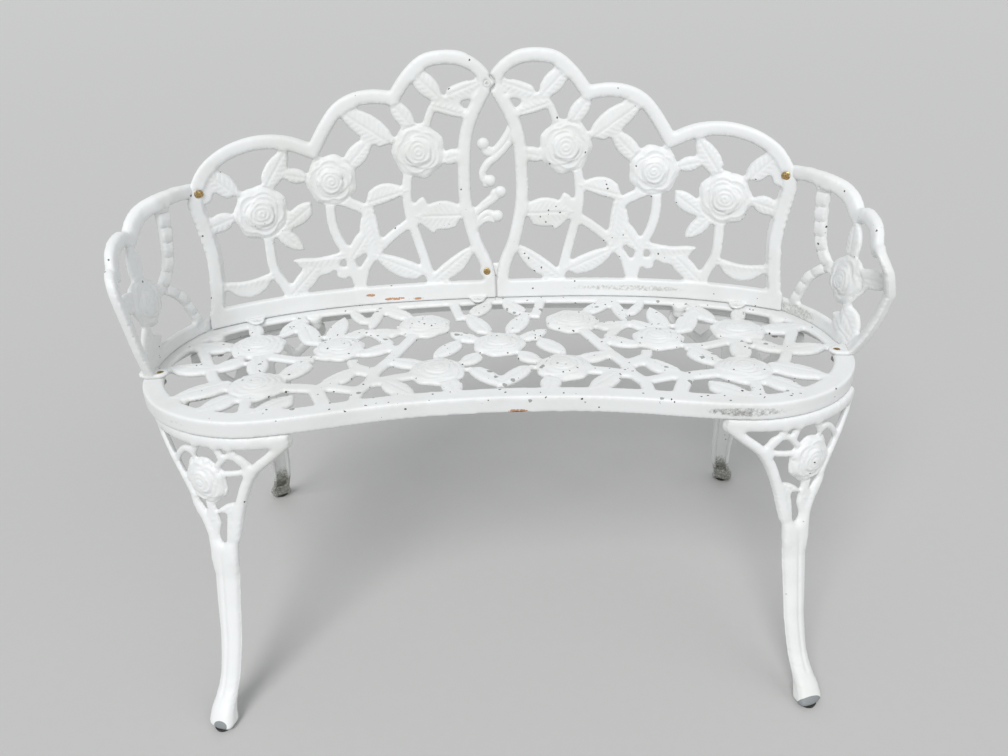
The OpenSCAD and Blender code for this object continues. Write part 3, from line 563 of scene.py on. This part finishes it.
def dressCasting(node, flat, pattern, barFace, spots, bothFaces=False, mayGrow=None):
    piece = fineCopy(node)
    mesh = piece.data
    co, edges = castForm(mesh, flat, pattern, barFace, bothFaces, mayGrow)
    moveVertices(mesh, co * mm)
    masks = {name: spotMask(co, spots.get(name, [])) for name in wearNames}
    finishCasting(mesh, cavityMask(mesh, co, edges), masks)
    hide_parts(node)
    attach(piece, "root")
    print("dressed", node, len(mesh.vertices), "vertices")


# Shader maths

class Wire:
    # One value, colour or vector in a material, for writing shader maths as expressions
    def __init__(self, tree, socket):
        self.tree = tree
        self.socket = socket

    # Any node: its settings first, then its sockets' values or links; output is a name or a number
    @classmethod
    def add(cls, tree, kind, settings=None, inputs=None, output=0):
        node = tree.nodes.new(kind)
        for name, value in (settings or {}).items():
            setattr(node, name, value)
        for name, value in (inputs or {}).items():
            if isinstance(value, Wire):
                tree.links.new(value.socket, node.inputs[name])
            else:
                node.inputs[name].default_value = value
        return cls(tree, node.outputs[output]) if len(node.outputs) else None

    def math(self, operation, *others):
        return Wire.add(self.tree, "ShaderNodeMath", {"operation": operation},
                        dict(enumerate([self, *others])))

    def __add__(self, other):
        return self.math("ADD", other)

    def __radd__(self, other):
        return self.math("ADD", other)

    def __mul__(self, other):
        return self.math("MULTIPLY", other)

    def __rmul__(self, other):
        return self.math("MULTIPLY", other)

    def __sub__(self, other):
        return self.math("SUBTRACT", other)

    def __rsub__(self, other):      # other - self
        return self.math("MULTIPLY_ADD", -1.0, other)

    def __lt__(self, other):
        return self.math("LESS_THAN", other)

    def __gt__(self, other):        # also serves other < self
        return self.math("GREATER_THAN", other)

    def above(self, low, high):
        return Wire.add(self.tree, "ShaderNodeMapRange", {"interpolation_type": "SMOOTHSTEP"},
                        {"Value": self, "From Min": low, "From Max": high})

    def top(self, other):
        return self.math("MAXIMUM", other)


mixPlug = {"mask": 0, "first": 6, "second": 7, "colour": 2}     # a Mix node's sockets for colours


def mixColour(tree, mask, first, second):
    return Wire.add(tree, "ShaderNodeMix", {"data_type": "RGBA"},
                    {mixPlug["mask"]: mask, mixPlug["first"]: first, mixPlug["second"]: second},
                    mixPlug["colour"])


def newMaterial(name):
    material = bpy.data.materials.new(name)
    material.use_nodes = True
    material.node_tree.nodes.clear()
    return material, material.node_tree


def finishMaterial(tree, colour, roughness, metallic=0.0, height=None, bump=0.2, distance=0.001):
    inputs = {"Base Color": colour, "Roughness": roughness, "Metallic": metallic}
    if height is not None:
        inputs["Normal"] = Wire.add(tree, "ShaderNodeBump", {},
                                    {"Height": height, "Strength": bump, "Distance": distance})
    shader = Wire.add(tree, "ShaderNodeBsdfPrincipled", {}, inputs)
    Wire.add(tree, "ShaderNodeOutputMaterial", {}, {"Surface": shader})


def place(tree):
    return Wire.add(tree, "ShaderNodeTexCoord", output="Object")


def noise(tree, where, scale, detail=3.0, rough=0.5, output=0):
    return Wire.add(tree, "ShaderNodeTexNoise", {},
                    {"Vector": where, "Scale": scale, "Detail": detail, "Roughness": rough}, output)


def cells(tree, where, scale, output=0):
    return Wire.add(tree, "ShaderNodeTexVoronoi", {}, {"Vector": where, "Scale": scale}, output)


def attribute(tree, name):
    return Wire.add(tree, "ShaderNodeAttribute", {"attribute_name": name}, output="Fac")


paintLook = {
    "white": (0.735, 0.745, 0.745, 1),
    "aged": (0.60, 0.60, 0.565, 1),
    # creaseShade: painted shade that darkens creases and hollows
    "creaseShade": (0.24, 0.235, 0.215, 1),
    "chip": (0.25, 0.26, 0.24, 1),
    "pinhole": (0.035, 0.035, 0.03, 1),
    "rust": (0.42, 0.17, 0.045, 1),
    "soot": (0.055, 0.055, 0.05, 1),
    "bare": (0.22, 0.235, 0.245, 1),
    "algae": (0.27, 0.275, 0.22, 1),
    "noise": {      # scale, detail, roughness
        "broad": (7.0, 4.0, 0.6), "fine": (90.0, 5.0, 0.65), "grain": (420.0, 2.0, 0.5),
        "speckle": (240.0, 5.0, 0.7), "scatter": (24.0, 2.0, 0.5), "wander": (160.0, 4.0, 0.5),
    },
    "edge": {       # where on its mask a mark begins, and where it is full
        "aged": (0.42, 0.72), "creaseShade": (0.35, 1.0), "hole": (0.61, 0.63), "algae": (0.42, 0.75),
        "rust": (0.60, 0.68), "soot": (0.45, 0.8), "bare": (0.45, 0.5),
    },
    "cover": {"aged": 0.45, "creaseShade": 0.42, "chip": 0.85, "algae": 0.8, "rust": 0.85, "soot": 0.85},
    "roughness": 0.42,
    "bump": 0.28,
    "bumpHeight": 0.0011,
    "drift": (0.006, 0.006, 0.006),     # how far the marks' edges wander, in metres
    "chipScale": 45.0,
    "chipSize": (0.03, 0.16),           # on sound paint, and what full wear adds
    "chipShare": (0.05, 0.27),
    "holeScale": 85.0,
    "holeSize": 0.125,
    "holeWear": 0.18,
}


def wornPaint():
    material, tree = newMaterial("worn_white_paint")
    where = place(tree)
    kinds, edge, cover = paintLook["noise"], paintLook["edge"], paintLook["cover"]
    broad = noise(tree, where, *kinds["broad"])
    fine = noise(tree, where, *kinds["fine"])
    grain = noise(tree, where, *kinds["grain"])
    speckle = noise(tree, where, *kinds["speckle"])
    scatter = noise(tree, where, *kinds["scatter"])
    wander = noise(tree, where, *kinds["wander"], output="Color")
    wear = attribute(tree, "wear")
    aged = broad.above(*edge["aged"]) * cover["aged"]
    colour = mixColour(tree, aged, paintLook["white"], paintLook["aged"])
    # Painted shade: the castings' creases and hollows are darkened in their colour
    creaseShade = (attribute(tree, "cavity") * (fine + 0.4)).above(*edge["creaseShade"]) * cover["creaseShade"]
    colour = mixColour(tree, creaseShade, colour, paintLook["creaseShade"])
    drift = Wire.add(tree, "ShaderNodeVectorMath", {"operation": "MULTIPLY_ADD"},
                     {0: wander, 1: paintLook["drift"], 2: where})
    sound, worn = paintLook["chipSize"]
    patch = cells(tree, drift, paintLook["chipScale"]) < sound + wear * worn
    sound, worn = paintLook["chipShare"]
    pick = Wire.add(tree, "ShaderNodeTexWhiteNoise", {},
                    {"Vector": cells(tree, drift, paintLook["chipScale"], "Position")})
    chips = patch * (pick < sound + wear * worn)
    colour = mixColour(tree, chips * cover["chip"], colour, paintLook["chip"])
    spot = cells(tree, drift, paintLook["holeScale"]) < paintLook["holeSize"]
    holes = spot * (scatter + wear * paintLook["holeWear"]).above(*edge["hole"])
    colour = mixColour(tree, holes, colour, paintLook["pinhole"])
    algae = (attribute(tree, "algae") * (speckle + broad * 0.4)).above(*edge["algae"])
    colour = mixColour(tree, algae * cover["algae"], colour, paintLook["algae"])
    rust = (attribute(tree, "rust") * (speckle * 0.6 + fine * 0.6)).above(*edge["rust"])
    colour = mixColour(tree, rust * cover["rust"], colour, paintLook["rust"])
    soot = (attribute(tree, "soot") * (speckle * 0.7 + fine * 0.5)).above(*edge["soot"])
    colour = mixColour(tree, soot * cover["soot"], colour, paintLook["soot"])
    bare = (attribute(tree, "bare") * (broad * 0.4 + 0.8)).above(*edge["bare"])
    colour = mixColour(tree, bare, colour, paintLook["bare"])
    roughness = paintLook["roughness"] + broad * 0.16 + creaseShade * 0.25 + chips * 0.2 + rust * 0.2
    height = grain * 0.35 + fine * 0.55 - chips * 0.5 - holes * 0.6 - bare * 0.4
    finishMaterial(tree, colour, roughness, 0.0, height, paintLook["bump"], paintLook["bumpHeight"])
    return material


metals = {
    "dull_brass": {"colour": (0.45, 0.33, 0.15, 1), "tarnish": (0.20, 0.10, 0.04, 1), "roughness": 0.38},
    "dull_zinc": {"colour": (0.42, 0.42, 0.41, 1), "tarnish": (0.20, 0.17, 0.14, 1), "roughness": 0.42},
}


def metalLook(name):
    look = metals[name]
    material, tree = newMaterial(name)
    spots = noise(tree, place(tree), 420.0, 4.0, 0.6)
    mask = spots.above(0.45, 0.68)
    colour = mixColour(tree, mask, look["colour"], look["tarnish"])
    finishMaterial(tree, colour, mask * 0.3 + look["roughness"], 1.0 - mask * 0.55, spots, 0.25, 0.0004)
    return material


# Near-black pads under the feet: painted shadow where each foot meets the floor, with a little dust
shadowPadLook = {"footShadow": (0.022, 0.022, 0.022, 1), "dust": (0.10, 0.095, 0.085, 1), "roughness": 0.6}


def footShadowLook():
    material, tree = newMaterial("foot_shadow_pad")
    dust = noise(tree, place(tree), 160.0, 4.0, 0.6)
    colour = mixColour(tree, dust.above(0.4, 0.7) * 0.5, shadowPadLook["footShadow"], shadowPadLook["dust"])
    finishMaterial(tree, colour, dust * 0.2 + shadowPadLook["roughness"], 0.0, dust, 0.3, 0.0006)
    return material


paint = wornPaint()
brass = metalLook("dull_brass")
zinc = metalLook("dull_zinc")
footShadow = footShadowLook()
print("materials made")


# Wear, where the photographed bench shows it

seatWear = {
    "wear": [(0, 0, 420, 620, 400, 14, 1.0)],
    "rust": [(14, -134, 398, 26, 20, 7, 1.2), (185, -120, 412, 14, 20, 6, 1.1),
             (-330, 205, 417, 40, 20, 8, 1.1)],
    "soot": [(305, -165, 408, 95, 34, 13, 1.0), (-320, 205, 417, 42, 16, 8, 1.2),
             (14, -134, 396, 16, 20, 5, 1.2), (-495, -20, 410, 26, 60, 16, 1.1),
             (-440, -110, 405, 50, 40, 12, 0.9)],
    "algae": [(-400, -120, 408, 70, 60, 16, 1.0), (505, 20, 414, 26, 60, 14, 1.1),
              (300, -160, 408, 110, 30, 14, 0.62)],
}
backWear = {
    "wear": [(0, 200, 560, 600, 300, 90, 0.25)],
    "rust": [(-176, 205, 428, 30, 30, 5, 1.25), (-215, 205, 437, 14, 30, 5, 1.2),
             (-140, 205, 426, 26, 30, 4, 1.2)],
    "algae": [(190, 190, 436, 200, 60, 10, 0.8)],
}
armWear = {
    "bare": [(-446, 112, 437, 8, 9, 8, 1.5)],
    "algae": [(455, 90, 430, 40, 90, 16, 0.75), (462, 20, 432, 30, 60, 24, 0.78),
              (440, 190, 640, 60, 60, 26, 0.8)],
}
legWear = {
    "bare": [(-404, -286, 10, 13, 14, 9, 1.6), (403, -286, 6, 24, 26, 15, 1.6)],
    "soot": [(-436, 262, 60, 60, 60, 190, 1.0), (430, 262, 60, 60, 60, 190, 1.0)],
    "algae": [(-436, 262, 120, 60, 60, 230, 1.15), (430, 262, 120, 60, 60, 230, 1.15)],
}


# Where a casting's open edges may grow, as a share

def seatEdgeFree(p, depth):
    away = seatEdge.locate(p)[1]
    return soft(np.abs(away), *seatPattern["rim"]) * (depth < seatPattern["skirtDepth"])


def backFree(p, depth):
    half, low = backPattern["joint"]
    joint = (p[:, 0] < half) & (p[:, 1] > low)
    return ((p[:, 1] > backPattern["railTop"] + 6) & ~joint).astype(float)


# Where a casting is an outline bar, which is thicker than the leafwork

def backBars(p, depth):
    return (depth < -1.2) & (p[:, 1] > backPattern["railTop"] + 1)


def armBars(p, depth):
    return (depth < -1.6) & (p[:, 1] > armPattern["railTop"] + 4)


def legBars(p, depth):
    return np.maximum(1 - soft(p[:, 1], *legPattern["barsFade"]), (depth < 0) * 1.0)


def seatBars(p, depth):
    return np.zeros(len(p), bool)


dressCasting("seat", seatFlat, seatPattern, seatBars, seatWear, mayGrow=seatEdgeFree)
for side, word in ((-1, "left"), (1, "right")):
    dressCasting("back_panel_" + word, lambda co, side=side: backFlat(co, side),
                 backPattern, backBars, backWear, mayGrow=backFree)
    dressCasting("arm_" + word, lambda co, side=side: armFlat(co, side),
                 armPattern, armBars, armWear, bothFaces=True)
    for rear, end in ((False, "front"), (True, "rear")):
        dressCasting("leg_%s_%s" % (end, word), lambda co, side=side, rear=rear: legFlat(co, side, rear),
                     legPattern, legBars, legWear)


# The four scrolls between the panels: half-round stems that end in a ball, on the back's flat drawing
scrolls = {
    "stem": 6.3,
    "swell": 0.12,          # how much thicker the stem is away from its ball
    "ball": 10.2,
    "flatness": 0.72,
    "depth": 4.0,
    "around": 20,           # points around the stem
    "voxel": 1.3,
    "wear": 0.2,
    "lines": {
        "scroll_upper": [(33, 278), (28, 266), (16, 249), (3, 237), (-9, 235), (-14, 248)],
        "scroll_middle": [(29, 252), (10, 232), (-9, 217), (-17, 203), (-13, 191), (-5, 191)],
        "scroll_lower": [(-38, 133), (-26, 145), (-11, 155), (0, 162), (11, 173)],
        "scroll_lowest": [(-34, 108), (-26, 129), (-14, 140), (-5, 139), (5, 135)],
    },
}


def backPoint(s, z, depth):
    y = backRow(s) - planShift + z * leanSlope + depth
    return Vector((planMiddle + s, y, seatTop + z)) * mm


# Links a built form as a piece of its own
def linkPiece(name, build):
    mesh = bpy.data.meshes.new(name)
    build.to_mesh(mesh)
    build.free()
    piece = bpy.data.objects.new(name, mesh)
    scene.collection.objects.link(piece)
    return piece


def castScroll(name, line):
    path = smoothLine(line, 12)
    steps = np.hypot(*np.diff(path, axis=0).T)
    left = np.concatenate([np.cumsum(steps[::-1])[::-1], [0]])
    count = scrolls["around"]
    turns = np.linspace(0, 2 * np.pi, count, endpoint=False)
    tangent = np.gradient(path, axis=0)
    tangent /= np.hypot(*tangent.T)[:, None]
    build = bmesh.new()
    rows = []
    for k in range(len(path)):
        size = scrolls["stem"] * (1 + scrolls["swell"] * soft(left[k], 20, 50))
        row = []
        for a in turns:
            s, z = path[k] + np.array([-tangent[k, 1], tangent[k, 0]]) * size * math.cos(a)
            depth = scrolls["depth"] - size * scrolls["flatness"] * math.sin(a)
            row.append(build.verts.new(backPoint(s, z, depth)))
        rows.append(row)
    for a, b in zip(rows, rows[1:]):
        for i in range(count):
            build.faces.new((a[i], a[(i + 1) % count], b[(i + 1) % count], b[i]))
    build.faces.new(rows[0][::-1])
    build.faces.new(rows[-1])
    end = backPoint(*path[-1], scrolls["depth"])
    shape = Matrix.Translation(end) @ Matrix.Diagonal((1, scrolls["flatness"], 1, 1))
    bmesh.ops.create_uvsphere(build, u_segments=28, v_segments=18, radius=scrolls["ball"] * mm,
                              matrix=shape)
    bmesh.ops.recalc_face_normals(build, faces=build.faces)
    piece = linkPiece(name, build)
    remeshPiece(piece, scrolls["voxel"] * mm)
    mesh = piece.data
    co = evenOut(vertexArray(mesh), edgeArray(mesh), rounds["scroll"])
    moveVertices(mesh, co)
    masks = dict.fromkeys(wearNames, np.zeros(len(co)))
    masks["wear"] = np.full(len(co), scrolls["wear"])
    finishCasting(mesh, np.zeros(len(co)), masks)
    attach(piece, "root")


for name, line in scrolls["lines"].items():
    castScroll(name, line)
print("scrolls made")


# Crossed countersunk heads, a little proud of the paint, on the screws that a sitter sees
screwHead = {
    "radius": 5.6,
    "dome": 1.1,
    "cross": 3.4,
    "crossWidth": 0.9,
    "crossDepth": 1.3,
    "middleDepth": 1.5,
    "sunk": 2.0,            # how far the head's edge reaches into the casting
    "rings": 12,
    "around": 48,
}


def headPiece(name, centre, out):
    count = screwHead["around"]
    turns = np.linspace(0, 2 * np.pi, count, endpoint=False)
    turned = Vector(out).to_track_quat("Z", "Y").to_matrix()
    build = bmesh.new()
    rows = []
    for r in np.linspace(0, 1, screwHead["rings"] + 1)[1:]:
        row = []
        for a in turns:
            x = r * screwHead["radius"] * math.cos(a)
            y = r * screwHead["radius"] * math.sin(a)
            lift = screwHead["dome"] * math.sqrt(1 - 0.96 * r * r)
            inReach = max(abs(x), abs(y)) < screwHead["cross"]
            if inReach and min(abs(x), abs(y)) < screwHead["crossWidth"]:
                lift -= screwHead["crossDepth"]
            row.append(build.verts.new(Vector(centre) * mm + turned @ Vector((x, y, lift)) * mm))
        rows.append(row)
    top = Vector((0, 0, screwHead["dome"] - screwHead["middleDepth"]))
    middle = build.verts.new(Vector(centre) * mm + turned @ top * mm)
    for i in range(count):
        build.faces.new((middle, rows[0][i], rows[0][(i + 1) % count]))
        for a, b in zip(rows, rows[1:]):
            build.faces.new((a[i], b[i], b[(i + 1) % count], a[(i + 1) % count]))
    down = turned @ Vector((0, 0, screwHead["sunk"])) * mm
    foot = [build.verts.new(v.co - down) for v in rows[-1]]
    for i in range(count):
        build.faces.new((rows[-1][i], foot[i], foot[(i + 1) % count], rows[-1][(i + 1) % count]))
    build.faces.new(foot[::-1])
    piece = linkPiece(name, build)
    piece.data.materials.append(brass)
    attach(piece, "root")


def screwFront(node, side=0):
    co = vertexArray(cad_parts[node].data) / mm
    if side:
        co = co[(co[:, 0] - planMiddle) * side > 0]
    front = co[co[:, 1] < co[:, 1].min() + 1.5]
    return (front.min(0) + front.max(0)) / 2


headPiece("screw_head_bottom_joint", screwFront("bottom_joint_screw"), (0, -1, leanSlope))
for side, word in ((-1, "left"), (1, "right")):
    headPiece("screw_head_arm_back_" + word, screwFront("arm_back_screws", side),
              (-0.42 * side, -1, leanSlope))
print("screw heads made")


# Fasteners and foot pads keep their shape and get their finish; the pads' near-black colour is painted
# shadow under each foot
nodeFinish = {
    "arm_back_screws": brass, "bottom_joint_screw": brass, "arm_seat_screws": brass,
    "top_joint_screw": paint, "tab_screws": paint,
    "arm_back_nuts": zinc, "bottom_joint_nut": zinc, "arm_seat_nuts": zinc, "top_joint_nut": zinc,
    "tab_nuts": zinc, "leg_screws": zinc,
    "glide_front_left": footShadow, "glide_front_right": footShadow,
    "glide_rear_left": footShadow, "glide_rear_right": footShadow,
}
for name, material in nodeFinish.items():
    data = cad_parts[name].data
    data.materials.clear()
    data.materials.append(material)
print("fasteners finished")


# Floor, light and camera

studio = {
    "floor": (0.50, 0.50, 0.49, 1),
    "floorSpeck": (0.45, 0.45, 0.44, 1),
    "floorReach": 90,
    "lamps": {"key": ((0.45, 1.0, -1.1), 30, 2.0), "fill": ((-0.9, 0.7, -0.7), 50, 0.5)},
    "sky": (0.96, 0.98, 1.0, 1),
    "world": 0.55,
    "sensor": 36,
    "lens": 803 * 36 / 1008,        # 803 pixels at a picture width of 1008
    "cameraPlace": (-17.5, -1048.4, 915.8),
    "yaw": -0.877,
    "pitch": 27.09,
    "roll": -1.589,
}


def makeFloor():
    far = studio["floorReach"]
    mesh = bpy.data.meshes.new("floor")
    mesh.from_pydata([(-far, -far, 0), (far, -far, 0), (far, far, 0), (-far, far, 0)], [], [(0, 1, 2, 3)])
    floor = bpy.data.objects.new("floor", mesh)
    scene.collection.objects.link(floor)
    material, tree = newMaterial("pale_floor")
    speck = noise(tree, place(tree), 60.0, 3.0, 0.6)
    colour = mixColour(tree, speck.above(0.3, 0.7) * 0.1, studio["floor"], studio["floorSpeck"])
    finishMaterial(tree, colour, 0.8)
    mesh.materials.append(material)


# A wide sun that shines towards a direction; its spread is in degrees
def softLamp(name, towards, spread, strength):
    lamp = bpy.data.lights.new(name, "SUN")
    lamp.angle = math.radians(spread)
    lamp.energy = strength
    holder = bpy.data.objects.new(name, lamp)
    holder.rotation_euler = Vector(towards).to_track_quat("-Z", "Y").to_euler()
    scene.collection.objects.link(holder)


# The sky lights the bench gently, and is white where it is seen or mirrored
def makeWorld():
    world = bpy.data.worlds.new("soft_sky")
    world.use_nodes = True
    tree = world.node_tree
    tree.nodes.clear()
    looked = Wire.add(tree, "ShaderNodeLightPath", output="Is Camera Ray")
    mirrored = Wire.add(tree, "ShaderNodeLightPath", output="Is Glossy Ray")
    strength = looked.top(mirrored) * (1.0 - studio["world"]) + studio["world"]
    sky = Wire.add(tree, "ShaderNodeBackground", {}, {"Color": studio["sky"], "Strength": strength})
    Wire.add(tree, "ShaderNodeOutputWorld", {}, {"Surface": sky})
    scene.world = world


def makeCamera():
    yaw, pitch, roll = (math.radians(studio[k]) for k in ("yaw", "pitch", "roll"))
    turn = Matrix.Rotation(yaw, 3, "Z")
    ahead = turn @ Vector((0, math.cos(pitch), -math.sin(pitch)))
    right = turn @ Vector((1, 0, 0))
    up = right.cross(ahead)
    tiltedRight = math.cos(roll) * right + math.sin(roll) * up
    tiltedUp = -math.sin(roll) * right + math.cos(roll) * up
    data = bpy.data.cameras.new("view")
    data.sensor_width = studio["sensor"]
    data.lens = studio["lens"]
    camera = bpy.data.objects.new("view", data)
    matrix = Matrix((tiltedRight, tiltedUp, -ahead)).transposed().to_4x4()
    matrix.translation = Vector(studio["cameraPlace"]) * mm
    camera.matrix_world = matrix
    scene.collection.objects.link(camera)
    scene.camera = camera


makeFloor()
makeWorld()
for name, lamp in studio["lamps"].items():
    softLamp(name, *lamp)
makeCamera()
scene.view_settings.view_transform = "Standard"
print("studio ready")
